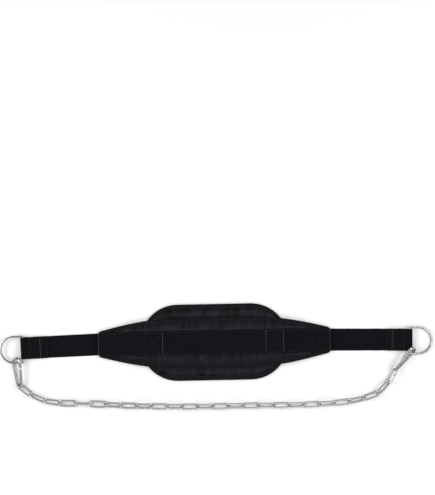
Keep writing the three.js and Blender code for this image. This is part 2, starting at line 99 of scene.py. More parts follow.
class ClothSettings(bpy.types.PropertyGroup):
    """Padded cloth, tape, webbing and thread"""

    padding_colour: colour("Padding", (0.0048, 0.0046, 0.0072), "Satin cloth of both pads")
    tape_colour: colour("Tape", (0.0066, 0.0064, 0.0078), "Binding tape")
    webbing_colour: colour("Webbing", (0.005, 0.0048, 0.0068), "Webbing and straps")
    thread_colour: colour("Thread", (0.03, 0.027, 0.026), "Thread of the binding and straps")
    box_thread_colour: colour("Box thread", (0.03, 0.02, 0.017), "Thread of the crossed boxes")
    # Painted highlight: a pale thread colour for the seams across the belt at some box ends and on
    # the straps, where the thread would catch the side lights
    painted_highlight_thread_colour: colour("End thread", (0.17, 0.16, 0.15), "Thread of the boxes' ends")
    pad_tape_width: length("Pad tape width", 7.5, "Binding seen on top of the back pad")
    panel_tape_width: length("Panel tape width", 8, "Binding seen on top of the panel")
    tape_thickness: length("Tape thickness", 1, "Binding tape and what lies over it")
    panel_rim: length("Panel rim", 2, "Cloth pinched inside the panel's tape")
    pad_rim: length("Pad rim", 2.9, "Cloth pinched inside the pad's tape")
    panel_puff: length("Panel puff", 1.3, "Rise of the panel beside the webbing")
    pad_puff: length("Pad puff", 1.9, "Rise of the pad beside the panel")
    panel_corner: length("Panel corner", 8, "Rounding of the panel's four corners")
    panel_swell: length("Panel swell", 1.8, "Furthest that the panel's cloth moves as it settles")
    pad_swell: length("Pad swell", 2, "Furthest that the pad's cloth moves as it settles")
    pressure: strength("Pressure", 2.5, "Pressure of the foam under the padding's cloth")
    pucker: length("Pucker", 1.5, "Height of the cloth's narrow folds")
    slack: share("Slack", 0.1, "Spare cloth where a seam is gathered most")
    weave: length("Weave", 0.7, "Distance between two threads of the satin")
    stitch: length("Stitch", 3.4, "Length of a stitch and its gap")
    thread: length("Thread thickness", 0.6, "Width of the sewing thread")
    box_length: length("Box length", 37, "Crossed box along the belt")
    box_width: length("Box width", 44, "Crossed box across the webbing")
    outer_box: length("Outer box", 224, "Middle of the outer boxes from the belt's middle")
    inner_box: length("Inner box", 126.5, "Middle of the inner boxes from the belt's middle")


class SteelSettings(bpy.types.PropertyGroup):
    """Rings, hooks and chain"""

    steel_colour: colour("Steel", (0.74, 0.75, 0.8), "Chromed steel")
    # Painted shade: a darker copy of the steel colour, so that the D-rings' reflections come out
    # darker than those of the hooks and the chain
    ring_shaded_colour: colour("Ring", (0.4, 0.4, 0.42), "Darker painted_shade of the D-rings")
    rivet_colour: colour("Rivet", (0.12, 0.115, 0.11), "Dull steel of the hinge rivets")
    roughness: share("Roughness", 0.17, "Roughness of the plated steel")
    hook_length: length("Hook length", 68, "Hook from end to end")
    hook_wire: length("Hook wire", 6, "Rod that the hooks are bent from")
    wide_radius: length("Wide end", 10, "Middle of the rod round a hook's wide end")
    narrow_radius: length("Narrow end", 6, "Middle of the rod round a hook's narrow end")
    hinge_share: share("Hinge", 0.26, "Place of the hinge along the limb")
    gate_length: length("Gate length", 24, "Gate from its hinge to its tip")
    gate_rod: length("Gate rod", 5.5, "Rod of the gate")
    ring_wire: length("Ring wire", 4, "Rod that the D-rings are bent from")
    ring_corner: length("Ring corner", 2.6, "Bend at both ends of a ring's bar")
    link_wire: length("Link wire", 4, "Wire of the chain")
    weld: share("Weld", 0.1, "Swelling of a link's weld, as a share of its wire")


class StageSettings(bpy.types.PropertyGroup):
    """Floor, light and camera"""

    floor_colour: colour("Floor", (0.92, 0.92, 0.92), "Plain pale floor")
    card_colour: colour("Card", (0.02, 0.02, 0.022), "Dark card that the steel mirrors")
    camera_height: length("Camera height", 3000, "Height of the camera over the table")
    view_height: length("View height", 1039.5, "Part of the table that the picture shows")
    view_x: length("View X", 10.8, "Middle of the picture along the belt")
    view_y: length("View Y", 198.3, "Middle of the picture across the belt")
    view_turn: FloatProperty(
        name="View turn", description="Turn of the picture", default=-0.02077, subtype="ANGLE"
    )
    sky: strength("Sky", 0.64, "Strength of the soft light from all sides")
    key: strength("Key", 17, "Power of a soft box")
    cloth_frames: IntProperty(
        name="Cloth frames", description="Steps that the padding settles for", default=16, min=2
    )


def cloth():
    return bpy.context.scene.dip_belt_cloth


def steel():
    return bpy.context.scene.dip_belt_steel


def stage():
    return bpy.context.scene.dip_belt_stage


# Reading the frame


def vertices_of(node):
    mesh = frame["nodes"][node].data
    flat = np.empty(3 * len(mesh.vertices))
    mesh.vertices.foreach_get("co", flat)
    return flat.reshape(-1, 3)


def curve_through(knots, values, at):
    """Smooth curve through knots, read at other places and held past both ends"""
    at = np.clip(at, knots[0], knots[-1])
    slopes = np.gradient(values, knots)
    i = np.clip(np.searchsorted(knots, at) - 1, 0, len(knots) - 2)
    step = knots[i + 1] - knots[i]
    t = (at - knots[i]) / step
    here = values[i] * (1 + 2 * t) + step * slopes[i] * t
    ahead = values[i + 1] * (3 - 2 * t) + step * slopes[i + 1] * (t - 1)
    return here * (1 - t) ** 2 + ahead * t**2


def along_the_belt(node):
    """Half width, lowest and highest point of a CAD piece, each as a curve along X"""
    points = vertices_of(node)
    spots = np.round(points[:, 0], 4)
    knots = np.unique(spots)
    groups = [points[spots == x] for x in knots]
    half = np.array([np.abs(group[:, 1]).max() for group in groups])
    low = np.array([group[:, 2].min() for group in groups])
    high = np.array([group[:, 2].max() for group in groups])
    return [lambda x, row=row: curve_through(knots, row, x) for row in (half, low, high)]


def lie_of(node):
    """Middle of a flat bent wire, with its longer, shorter and thinnest direction as rows"""
    points = vertices_of(node)
    _, columns = np.linalg.eigh(np.cov((points - points.mean(axis=0)).T))
    axes = columns.T[::-1].copy()
    reach = points @ axes.T
    middle = (reach.min(axis=0) + reach.max(axis=0)) / 2 @ axes
    return middle, axes, np.ptp(reach, axis=0)


def smoothstep(x, low, high):
    t = np.clip((x - low) / (high - low), 0, 1)
    return t * t * (3 - 2 * t)


def ripple(points, size, seed):
    """Soft noise from -1 to 1 at each point, with lumps of about that size"""
    points = np.column_stack([points, np.zeros((len(points), 3 - np.shape(points)[1]))])
    return np.array([noise.noise(Vector(p) / size + Vector((seed, 0, 0))) for p in points])


# Meshes


def mesh_of(name, vertices, faces):
    mesh = bpy.data.meshes.new(name)
    mesh.from_pydata([tuple(v) for v in vertices], [], faces)
    return mesh


def placed(name, data):
    """New object in the scene, with a mesh, a lamp or a camera as its data"""
    thing = bpy.data.objects.new(name, data)
    bpy.context.scene.collection.objects.link(thing)
    return thing


def add_piece(name, vertices, faces, finish, body="belt", stands_for=()):
    mesh = mesh_of(name, vertices, faces)
    mesh.validate()
    mesh.shade_smooth()
    mesh.materials.append(finish)
    piece = placed(name, mesh)
    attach(piece, body)
    if stands_for:
        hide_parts(*stands_for)
    return piece


def sweep(path, across, up, sections, closed=False):
    """Vertices and faces of closed sections, given by their points across and up, on a path"""
    path = np.asarray(path, float)
    count = len(path)
    across = np.broadcast_to(np.asarray(across, float), (count, 3))
    up = np.broadcast_to(np.asarray(up, float), (count, 3))
    sections = np.broadcast_to(sections, (count, *np.shape(sections)[-2:]))
    size = sections.shape[1]
    rings = path[:, None] + sections[..., :1] * across[:, None] + sections[..., 1:] * up[:, None]
    faces = []
    for i in range(count if closed else count - 1):
        a, b = i * size, (i + 1) % count * size
        for j in range(size):
            k = (j + 1) % size
            faces.append((a + j, a + k, b + k, b + j))
    if not closed:
        faces.append(tuple(range(size))[::-1])
        faces.append(tuple(range((count - 1) * size, count * size)))
    return rings.reshape(-1, 3), faces


def joined(parts):
    """Several (vertices, faces) as one"""
    vertices, faces, start = [], [], 0
    for points, polygons in parts:
        vertices.append(points)
        faces.extend(tuple(start + i for i in polygon) for polygon in polygons)
        start += len(points)
    return np.concatenate(vertices), faces


def arc(centre, radius, start, end, steps):
    """Points of an arc in a plane, both ends included; angles in degrees"""
    angles = np.radians(np.linspace(start, end, steps + 1))
    return np.array(centre) + radius * np.stack([np.cos(angles), np.sin(angles)], axis=1)


def circle(radius, sides):
    return arc((0, 0), radius, 0, 360, sides)[:-1]


def tangents(path, closed=False):
    if closed:
        steps = np.roll(path, -1, axis=0) - np.roll(path, 1, axis=0)
    else:
        steps = np.gradient(path, axis=0)
    return steps / np.linalg.norm(steps, axis=1, keepdims=True)


def bent_wire(outline, lie, radii, sides):
    """Round wire along a closed flat outline. lie is its origin and its X, Y and Z axes as rows"""
    origin, axes = lie
    path = origin + outline @ axes[:2]
    across = np.cross(tangents(path, closed=True), axes[2])
    sections = circle(1, sides) * np.broadcast_to(radii, len(path))[:, None, None]
    return sweep(path, across, axes[2], sections, closed=True)


def oblong(width, thickness, edge_points=5, top_points=2):
    """Section of a flat band with rounded edges, its middle at the origin"""
    radius = thickness / 2
    right = arc((width / 2 - radius, 0), radius, -90, 90, edge_points)
    left = arc((radius - width / 2, 0), radius, 90, 270, edge_points)
    inset = np.linspace(-1, 1, top_points + 2)[1:-1] * (width / 2 - radius)
    top = np.stack([-inset, np.full_like(inset, radius)], axis=1)
    bottom = np.stack([inset, np.full_like(inset, -radius)], axis=1)
    return np.concatenate([right, top, left, bottom])


def folded_tape(width, tall, thick):
    """Section of a tape folded over an edge: the first number runs inwards from the fold"""
    bend = tall / 2
    outer = arc((bend, bend), bend, 270, 90, 12)
    inner = arc((bend, bend), bend - thick, 90, 270, 12)
    tip = thick / 2
    high = arc((width - tip, tall - tip), tip, 90, -90, 5)
    low = arc((width - tip, tip), tip, 90, -90, 5)
    return np.concatenate([outer, high, inner, low])


def carve(piece, lie, low, high):
    """Cuts a box out of a piece. The two corners are in the lie's own X, Y and Z"""
    origin, axes = lie
    xs, ys, zs = zip(low, high)
    corners = [(x, y, z) for x in xs for y in ys for z in zs]
    sides = [(0, 1, 3, 2), (4, 6, 7, 5), (0, 4, 5, 1), (2, 3, 7, 6), (0, 2, 6, 4), (1, 5, 7, 3)]
    block = placed("block", mesh_of("block", origin + np.array(corners) @ axes, sides))
    cut = piece.modifiers.new("cut", "BOOLEAN")
    cut.object, cut.operation, cut.solver = block, "DIFFERENCE", "EXACT"
    bpy.context.view_layer.update()
    shaped = piece.evaluated_get(bpy.context.evaluated_depsgraph_get())
    mesh = bpy.data.meshes.new_from_object(shaped)
    piece.modifiers.clear()
    piece.data = mesh
    bpy.data.objects.remove(block)
    mesh.shade_smooth()
    mesh.set_sharp_from_angle(angle=math.radians(40))


# Finishes


class Finish:
    """Node material built round one surface shader. sheen is its weight and roughness"""

    def __init__(self, name, base, roughness, gloss=0.5, sheen=(0, 0.5), metallic=0):
        self.material = bpy.data.materials.new(name)
        self.material.use_nodes = True
        self.nodes = self.material.node_tree.nodes
        self.link = self.material.node_tree.links.new
        self.surface = self.nodes["Principled BSDF"]
        self.place = self.nodes.new("ShaderNodeTexCoord").outputs["Object"]
        self.surface.inputs["Base Color"].default_value = (*base, 1)
        self.surface.inputs["Roughness"].default_value = roughness
        self.surface.inputs["Specular IOR Level"].default_value = gloss
        self.surface.inputs["Sheen Weight"].default_value = sheen[0]
        self.surface.inputs["Sheen Roughness"].default_value = sheen[1]
        self.surface.inputs["Metallic"].default_value = metallic

    def noise(self, size, detail=3, stretch=(1, 1, 1)):
        mapping = self.nodes.new("ShaderNodeMapping")
        mapping.inputs["Scale"].default_value = stretch
        self.link(self.place, mapping.inputs["Vector"])
        texture = self.nodes.new("ShaderNodeTexNoise")
        texture.inputs["Scale"].default_value = 1 / size
        texture.inputs["Detail"].default_value = detail
        self.link(mapping.outputs["Vector"], texture.inputs["Vector"])
        return texture.outputs["Fac"]

    def threads(self, spacing, direction, turn=0):
        """Bands of one set of threads, square to a direction"""
        mapping = self.nodes.new("ShaderNodeMapping")
        mapping.inputs["Rotation"].default_value = (0, 0, turn)
        self.link(self.place, mapping.inputs["Vector"])
        texture = self.nodes.new("ShaderNodeTexWave")
        texture.bands_direction = direction
        texture.inputs["Scale"].default_value = 2 * math.pi / (20 * spacing)
        self.link(mapping.outputs["Vector"], texture.inputs["Vector"])
        return texture.outputs["Fac"]

    def blend(self, operation, first, second):
        node = self.nodes.new("ShaderNodeMath")
        node.operation = operation
        for socket, value in zip(node.inputs, (first, second)):
            if isinstance(value, (int, float)):
                socket.default_value = value
            else:
                self.link(value, socket)
        return node.outputs["Value"]

    def ramp(self, source, stops, socket):
        """Colours or grey values by a pattern's height, on one socket of the surface"""
        node = self.nodes.new("ShaderNodeValToRGB")
        for element, (position, value) in zip(node.color_ramp.elements, stops):
            element.position = position
            element.color = (*value, 1) if isinstance(value, tuple) else (value, value, value, 1)
        self.link(source, node.inputs["Fac"])
        self.link(node.outputs["Color"], self.surface.inputs[socket])

    def relief(self, heights):
        """Bump from several (pattern, depth in metres, strength), one on the other"""
        normal = None
        for pattern, depth, strength in heights:
            bump = self.nodes.new("ShaderNodeBump")
            bump.inputs["Distance"].default_value = depth
            bump.inputs["Strength"].default_value = strength
            self.link(pattern, bump.inputs["Height"])
            if normal:
                self.link(normal, bump.inputs["Normal"])
            normal = bump.outputs["Normal"]
        self.link(normal, self.surface.inputs["Normal"])


def shades(base, *factors):
    return [tuple(min(channel * factor, 1) for channel in base) for factor in factors]


def satin_padding(name, base):
    finish = Finish(name, base, 0.36, gloss=0.15, sheen=(0.02, 0.35))
    spacing = cloth().weave
    weft = finish.threads(spacing, "X")
    warp = finish.threads(0.6 * spacing, "Y")
    creases = finish.noise(10 * MM, 2, (1, 0.25, 1))
    shade = finish.noise(26 * MM)
    # Painted highlight: the creases pattern lightens the base colour in streaks along the satin's
    # folds, standing for the sheen that the folds catch from the side lights; the weft adds a
    # little of the weave's own pattern. dark is the unlit tone and light the painted highlight.
    dark, light = shades(base, 0.4, 2.4)
    painted_sheen_streaks = finish.blend("ADD", creases, finish.blend("MULTIPLY", weft, 0.12))
    finish.ramp(painted_sheen_streaks, ((0.36, dark), (0.76, light)), "Base Color")
    finish.ramp(shade, ((0.3, 0.33), (0.7, 0.45)), "Roughness")
    woven = finish.blend("MAXIMUM", weft, warp)
    finish.relief([(creases, 0.9 * MM, 0.4), (woven, 0.05 * MM, 0.25)])
    return finish


def ribbed_tape(name, base):
    finish = Finish(name, base, 0.7, gloss=0.07, sheen=(0.01, 0.5))
    ribs = finish.threads(1.1 * MM, "X")
    fuzz = finish.noise(3 * MM)
    dark, light = shades(base, 0.6, 1.9)
    finish.ramp(finish.blend("MULTIPLY", ribs, fuzz), ((0.05, dark), (0.6, light)), "Base Color")
    finish.ramp(fuzz, ((0.3, 0.62), (0.7, 0.82)), "Roughness")
    finish.relief([(ribs, 0.16 * MM, 0.5), (fuzz, 0.2 * MM, 0.3)])
    return finish


def matte_webbing(name, base):
    finish = Finish(name, base, 0.88, gloss=0.05, sheen=(0.01, 0.6))
    slant = math.radians(62)
    rising, falling = (finish.threads(1.9 * MM, "X", turn) for turn in (slant, -slant))
    rows = finish.threads(3 * MM, "Y")
    twill = finish.blend("MULTIPLY", finish.blend("MAXIMUM", rising, falling), rows)
    fuzz = finish.noise(2 * MM)
    dark, light = shades(base, 0.7, 1.9)
    finish.ramp(finish.blend("MULTIPLY", twill, fuzz), ((0.02, dark), (0.55, light)), "Base Color")
    finish.ramp(fuzz, ((0.3, 0.8), (0.7, 0.95)), "Roughness")
    finish.relief([(twill, 0.3 * MM, 0.5), (fuzz, 0.25 * MM, 0.35)])
    return finish


def spun_thread(name, base):
    finish = Finish(name, base, 0.55, gloss=0.15, sheen=(0.02, 0.4))
    lay = finish.threads(0.4 * MM, "DIAGONAL")
    uneven = finish.blend("MULTIPLY", lay, finish.noise(4 * MM))
    dark, light = shades(base, 0.55, 1.5)
    finish.ramp(uneven, ((0.05, dark), (0.6, light)), "Base Color")
    finish.relief([(lay, 0.08 * MM, 0.5)])
    return finish


def plated_steel(name, base):
    rough = steel().roughness
    finish = Finish(name, base, rough, metallic=1)
    clouds = finish.noise(7 * MM, 5)
    marks = finish.noise(0.9 * MM, 4, (1, 4, 1))
    dark, light = shades(base, 0.8, 1.12)
    finish.ramp(clouds, ((0.3, dark), (0.62, light)), "Base Color")
    finish.ramp(clouds, ((0.3, 1.6 * rough), (0.7, 0.7 * rough)), "Roughness")
    finish.relief([(clouds, 0.12 * MM, 0.35), (marks, 0.02 * MM, 0.2)])
    return finish


def dull_rivet(name, base):
    finish = Finish(name, base, 0.45, metallic=1)
    grain = finish.noise(0.6 * MM, 4)
    dark, light = shades(base, 0.5, 1.4)
    finish.ramp(grain, ((0.3, dark), (0.7, light)), "Base Color")
    finish.ramp(grain, ((0.3, 0.6), (0.7, 0.4)), "Roughness")
    finish.relief([(grain, 0.05 * MM, 0.4)])
    return finish


def shared(name, make, tint):
    """A finish is made once and shared by its pieces"""
    return bpy.data.materials.get(name) or make(name, tuple(tint)).material


def padding_finish():
    return shared("satin_padding", satin_padding, cloth().padding_colour)


def tape_finish():
    return shared("ribbed_tape", ribbed_tape, cloth().tape_colour)


def webbing_finish():
    return shared("matte_webbing", matte_webbing, cloth().webbing_colour)


def thread_finish():
    return shared("dark_thread", spun_thread, cloth().thread_colour)


def box_thread_finish():
    return shared("brown_thread", spun_thread, cloth().box_thread_colour)


def painted_highlight_thread_finish():
    return shared("pale_thread", spun_thread, cloth().painted_highlight_thread_colour)


def steel_finish():
    return shared("plated_steel", plated_steel, steel().steel_colour)


# The D-rings use the plated steel finish with a darker colour, which paints shade into their
# reflections
def shaded_ring_finish():
    return shared("ring_steel", plated_steel, steel().ring_shaded_colour)


def rivet_finish():
    return shared("dull_rivet", dull_rivet, steel().rivet_colour)


# Cloth that billows between its seams


def gathers_of(places):
    """How much a seam is gathered beside each place, from 0 to 1, in bunches along the belt"""
    seam_apart = 70 * MM
    along = places * (1, 0, 0) + np.sign(places) * (0, seam_apart, 0)
    return np.clip(0.25 + 1.8 * ripple(along, 30 * MM, 21), 0, 1)


def weigh(piece, name, weights):
    """Vertex group whose weights are rounded to hundredths"""
    group = piece.vertex_groups.new(name=name)
    weights = np.round(weights, 2)
    for weight in np.unique(weights):
        chosen = np.flatnonzero(weights == weight)
        group.add([int(i) for i in chosen], float(weight), "REPLACE")


def simulated(piece):
    """Where a piece's vertices lie once its cloth has settled"""
    settle = piece.modifiers.new("settle", "CLOTH")
    rules = settle.settings
    rules.quality = 5
    rules.mass = 0.1
    rules.tension_stiffness = rules.compression_stiffness = 15
    rules.bending_stiffness = 0.01
    rules.use_pressure = True
    rules.uniform_pressure_force = cloth().pressure
    rules.shrink_min, rules.shrink_max = 0, -cloth().slack
    rules.vertex_group_shrink = "gathers"
    rules.vertex_group_mass = "sewn_down"
    rules.effector_weights.gravity = 0
    settle.collision_settings.use_collision = False
    for number in range(1, stage().cloth_frames + 1):
        bpy.context.scene.frame_set(number)
    settled = piece.evaluated_get(bpy.context.evaluated_depsgraph_get())
    places = np.array([v.co for v in settled.data.vertices])
    piece.modifiers.remove(settle)
    bpy.context.scene.frame_set(1)
    return places


def move_vertices(piece, places):
    piece.data.vertices.foreach_set("co", places.ravel())
    piece.data.update()


def billow(piece, free, furthest):
    """Lets the free vertices puff and pucker by cloth simulation; the others stay sewn down"""
    rest = np.array([v.co for v in piece.data.vertices])
    move_vertices(piece, rest * SETTLING_SCALE)
    weigh(piece, "sewn_down", 1 - free)
    weigh(piece, "gathers", gathers_of(rest))
    moves = simulated(piece) / SETTLING_SCALE - rest
    piece.vertex_groups.clear()
    far = np.linalg.norm(moves, axis=1, keepdims=True)
    moves *= np.minimum(1, furthest / np.maximum(far, 1e-9))
    move_vertices(piece, rest + moves * free[:, None])
    finer = piece.modifiers.new("finer", "SUBSURF")
    finer.levels = finer.render_levels = 1


def pad_outline(turns, inset):
    """Points round the rounded oblong of the pad, that far inside it, and the inward directions"""
    low, high = map(np.array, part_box("pad_binding"))
    radius = (high[1] - low[1]) / 2
    spine = (high[0] - low[0]) / 2 - radius
    half = 2 * spine + math.pi * radius
    walked = (turns * 2 * half + spine) % (2 * half)
    side = np.where(walked < half, 1, -1)
    along = walked % half
    straight = along <= 2 * spine
    angle = np.where(straight, math.pi / 2, math.pi / 2 - (along - 2 * spine) / radius)
    middle = np.where(straight, along - spine, spine)
    out = np.stack([side * np.cos(angle), side * np.sin(angle)], axis=1)
    foot = np.stack([side * middle, 0 * middle], axis=1)
    return foot + out * (radius - inset), -out


def panel_outline():
    """Points round the panel's tapes, from the right end's middle over +Y to the left end's"""
    corner = cloth().panel_corner
    side, _, _ = along_the_belt("taper_binding_upper")
    tip, _, _ = along_the_belt("taper_panel")
    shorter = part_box("taper_binding_upper")[1][0]
    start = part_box("taper_panel")[1][0] - corner
    # The tapes of the CAD end before the panel does, and the panel's own width goes on
    knots = np.concatenate([np.linspace(0, shorter, 30), np.linspace(shorter + 6 * MM, start, 4)])
    reach = np.where(knots > shorter, tip(knots), side(knots))
    x = np.linspace(0, start, 130)
    y = curve_through(knots, reach, x)
    slope = (reach[-1] - reach[-2]) / (knots[-1] - knots[-2])
    bend = np.radians(np.linspace(0, 90, 13))[1:]
    round_x = start + corner * np.sin(bend)
    round_y = y[-1] + slope * corner * np.sin(bend) - corner * (1 - np.cos(bend))
    down = np.linspace(round_y[-1], 0, 9)[1:]
    x = np.concatenate([x, round_x, np.full(len(down), round_x[-1])])
    y = np.concatenate([y, round_y, down])
    return np.column_stack([np.concatenate([x[::-1], -x[1:]]), np.concatenate([y[::-1], y[1:]])])


def puckers(spots, seed):
    """Height of the cloth's narrow folds, which lie across the belt in loose groups"""
    wide = ripple(spots * (1, 0.16), 6 * MM, seed)
    narrow = ripple(spots * (1, 0.3), 3.5 * MM, seed + 1)
    group = smoothstep(ripple(spots * (1, 0.4), 34 * MM, seed + 2), -0.3, 0.15)
    return cloth().pucker * (wide + 0.5 * narrow) * (0.35 + 0.65 * group)


def welded(vertices, faces):
    """Which vertices stay and the faces between them, once those in one place are one"""
    places = {}
    first = [places.setdefault(tuple(np.round(v, 6)), i) for i, v in enumerate(vertices)]
    used = sorted(set(first))
    number = {old: i for i, old in enumerate(used)}
    rings = [list(dict.fromkeys(number[first[i]] for i in face)) for face in faces]
    return used, [tuple(ring) for ring in rings if len(ring) > 2]


# Pieces


def make_back_pad():
    """Wide pad: flat under the panel, puffed beyond it, pinched inside its tape"""
    steps, top_rows, base_rows = 400, 24, 6
    flat, rounding = 1 * MM, 0.5 * MM
    radius = np.ptp([corner[1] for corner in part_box("pad_binding")]) / 2
    rim_start = radius - cloth().pad_tape_width - LAYER_GAP
    rim_low = cloth().tape_thickness + LAYER_GAP
    rim_high = rim_low + cloth().pad_rim
    edge = radius - cloth().tape_thickness - LAYER_GAP
    pressed = along_the_belt("taper_panel")[1](0.0) - LAYER_GAP
    panel_half = along_the_belt("taper_binding_upper")[0]
    turns = np.arange(steps) / steps
    vertices, free = [], []
    profile = [(out, 0) for out in np.linspace(0, 1, base_rows) * (rim_start - flat)]
    profile += [(rim_start + flat, rim_low), (edge - rounding, rim_low)]
    profile += [(edge, (rim_low + rim_high) / 2)]
    profile += [(edge - rounding, rim_high), (rim_start + flat, rim_high)]
    for out, level in profile:
        spots, _ = pad_outline(turns, radius - out)
        vertices.append(np.column_stack([spots, np.full(steps, level)]))
        free.append(np.zeros(steps))
    tops = np.concatenate([np.linspace(0, 0.45, 3), np.linspace(0.5, 1, top_rows - 3)])
    for out in tops[::-1] * rim_start:
        spots, _ = pad_outline(turns, radius - out)
        clear = np.abs(spots[:, 1]) - panel_half(spots[:, 0])
        puff = smoothstep(clear, 1.5 * MM, 9 * MM) * smoothstep(rim_start - out, 0, 9 * MM)
        down = smoothstep(out - rim_start, -7 * MM, 0)
        height = (pressed + puff * cloth().pad_puff) * (1 - down) + rim_high * down
        free.append(smoothstep(clear, 0, 5 * MM) * smoothstep(rim_start - out, 0, 3 * MM))
        vertices.append(np.column_stack([spots, height + puckers(spots, 3) * free[-1]]))
    faces = []
    for row in range(len(vertices) - 1):
        for i in range(steps):
            a, b, ahead = row * steps, (row + 1) * steps, (i + 1) % steps
            faces.append((b + i, b + ahead, a + ahead, a + i))
    vertices = np.concatenate(vertices)
    # The first and the last row lie on the pad's spine, where opposite sides meet
    used, faces = welded(vertices, faces)
    piece = add_piece(
        "back_pad_cloth", vertices[used], faces, padding_finish(),
        stands_for=["back_pad"],
    )
    billow(piece, np.concatenate(free)[used], cloth().pad_swell)


def make_panel():
    """Tapered panel: flat under the webbing, puffed beside it, pinched inside its tape"""
    count, rows, base_rows, crowding = 280, 48, 12, 2.6
    _, low, _ = along_the_belt("taper_panel")
    webbing_low = along_the_belt("cross_webbing")[1]
    webbing_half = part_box("cross_webbing")[1][1]
    rise = cloth().tape_thickness + LAYER_GAP
    taped = cloth().panel_tape_width + LAYER_GAP
    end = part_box("taper_panel")[1][0]
    # Without its square ends the outline is a curve of X
    outline = panel_outline()
    outline = outline[outline[:, 0] < end - 0.01 * MM]
    # The stations lie closer together towards both ends
    stations = np.sin(np.linspace(-1, 1, count) * math.pi / crowding)
    stations = (end - rise) * stations / math.sin(math.pi / crowding)
    sections, free = [], []
    for x in stations:
        under, top = low(x), webbing_low(x) - LAYER_GAP
        outer = np.interp(-abs(x), -outline[:, 0], outline[:, 1])
        y = np.linspace(-1, 1, rows) * (outer - rise)
        aside = np.abs(y)
        ending = smoothstep(abs(x), end - taped - 5 * MM, end - taped)
        rim = np.maximum(smoothstep(aside, outer - taped - 6 * MM, outer - taped), ending)
        beside = smoothstep(aside, webbing_half + 1 * MM, webbing_half + 6 * MM)
        puff = beside * (1 - rim) * cloth().panel_puff
        rim_high = under + rise + cloth().panel_rim
        loose = smoothstep(aside, webbing_half, webbing_half + 3 * MM)
        loose *= smoothstep(outer - taped - aside, 0, 3 * MM)
        # The panel is creased across its middle
        loose = loose * (0.35 + 0.65 * smoothstep(abs(x), 0, 4 * MM))
        high = (top + puff) * (1 - rim) + rim_high * rim
        high = high + puckers(np.column_stack([np.full(rows, x), y]), 9) * loose
        base_y = np.linspace(1, -1, base_rows) * (outer - rise)
        base_rim = smoothstep(np.abs(base_y), outer - 13 * MM, outer - 9 * MM)
        base = under + rise * np.maximum(base_rim, ending)
        upper_and_lower = [np.column_stack([y, high]), np.column_stack([base_y, base])]
        sections.append(np.concatenate(upper_and_lower))
        free.append(np.concatenate([loose, np.zeros(base_rows)]))
    path = np.column_stack([stations, 0 * stations, 0 * stations])
    vertices, faces = sweep(path, (0, 1, 0), (0, 0, 1), np.array(sections))
    faces = [face[::-1] for face in faces]
    piece = add_piece(
        "panel_cloth", vertices, faces, padding_finish(),
        stands_for=["taper_panel"],
    )
    billow(piece, np.concatenate(free), cloth().panel_swell)


def make_tape(name, node, path, inwards, size, waves, closed=False):
    """Tape folded over an edge. size is its width and height, waves are its sways aside and up"""
    width, tall = size
    section = folded_tape(width, tall, cloth().tape_thickness)
    sections = np.repeat(section[None], len(path), axis=0)
    inner = smoothstep(section[:, 0], 3 * MM, width - 0.5 * MM)
    aside, up = (wave[:, None] * inner for wave in waves)
    sections[..., 0] += aside
    sections[..., 1] += up * (section[:, 1] > tall / 2)
    vertices, faces = sweep(path, inwards, (0, 0, 1), sections, closed)
    add_piece(name, vertices, faces, tape_finish(), stands_for=[node])


def make_pad_tape():
    low, high = map(np.array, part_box("pad_binding"))
    edge, inwards = pad_outline(np.arange(360) / 360, 0)
    path = np.column_stack([edge, np.full(len(edge), low[2])])
    inwards = np.column_stack([inwards, 0 * path[:, 0]])
    size = (cloth().pad_tape_width, high[2] - low[2])
    wave = ripple(path, 9 * MM, 5)
    waves = (0.5 * MM * wave, 0.15 * MM * wave)
    make_tape("pad_tape", "pad_binding", path, inwards, size, waves, closed=True)


def panel_tape_path(side):
    """Fold line of one panel tape, with the inward directions; the lower one is the upper turned"""
    _, low, _ = along_the_belt("taper_binding_upper")
    path = side * panel_outline()[::-1]
    way = tangents(path)
    inwards = np.column_stack([way[:, 1], -way[:, 0], 0 * path[:, 0]])
    return np.column_stack([path, low(path[:, 0])]), inwards


def make_panel_tape(name, side):
    node = "taper_binding_" + name
    path, inwards = panel_tape_path(side)
    low, high = [curve(path[0, 0]) for curve in along_the_belt(node)[1:]]
    straight_part = smoothstep(np.abs(path[:, 1]), 25 * MM, 30 * MM)
    wave = ripple(path, 8 * MM, 7) * straight_part
    waves = (0.45 * MM * wave, 0.12 * MM * wave)
    size = (cloth().panel_tape_width, high - low)
    make_tape("panel_tape_" + name, node, path, inwards, size, waves)


def box_places():
    """Middles of the crossed boxes along the belt"""
    return [way * middle for middle in (cloth().outer_box, cloth().inner_box) for way in (-1, 1)]


def make_cross_webbing():
    """Webbing along the whole panel, a little uneven, and pressed flat where it is sewn"""
    uneven, dent = 0.16 * MM, 0.25 * MM
    half, low, high = along_the_belt("cross_webbing")
    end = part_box("cross_webbing")[1][0]
    x = np.linspace(-end, end, 260)
    sections = []
    for at in x:
        thick = high(at) - low(at)
        section = oblong(2 * half(at), thick, 5, 22)
        upper = smoothstep(section[:, 1], 0, thick / 2)
        spots = np.column_stack([np.full(len(section), at), section])
        section[:, 1] += upper * uneven * ripple(spots, 12 * MM, 11)
        for middle in box_places():
            from_middle = abs(at - middle) / cloth().box_length
            sewn = 1 - smoothstep(from_middle, 0.46, 0.56)
            section[:, 1] -= upper * sewn * dent
        sections.append(section)
    path = np.column_stack([x, 0 * x, (low(x) + high(x)) / 2])
    vertices, faces = sweep(path, (0, -1, 0), (0, 0, 1), np.array(sections))
    add_piece(
        "webbing_band", vertices, faces, webbing_finish(), stands_for=["cross_webbing"]
    )


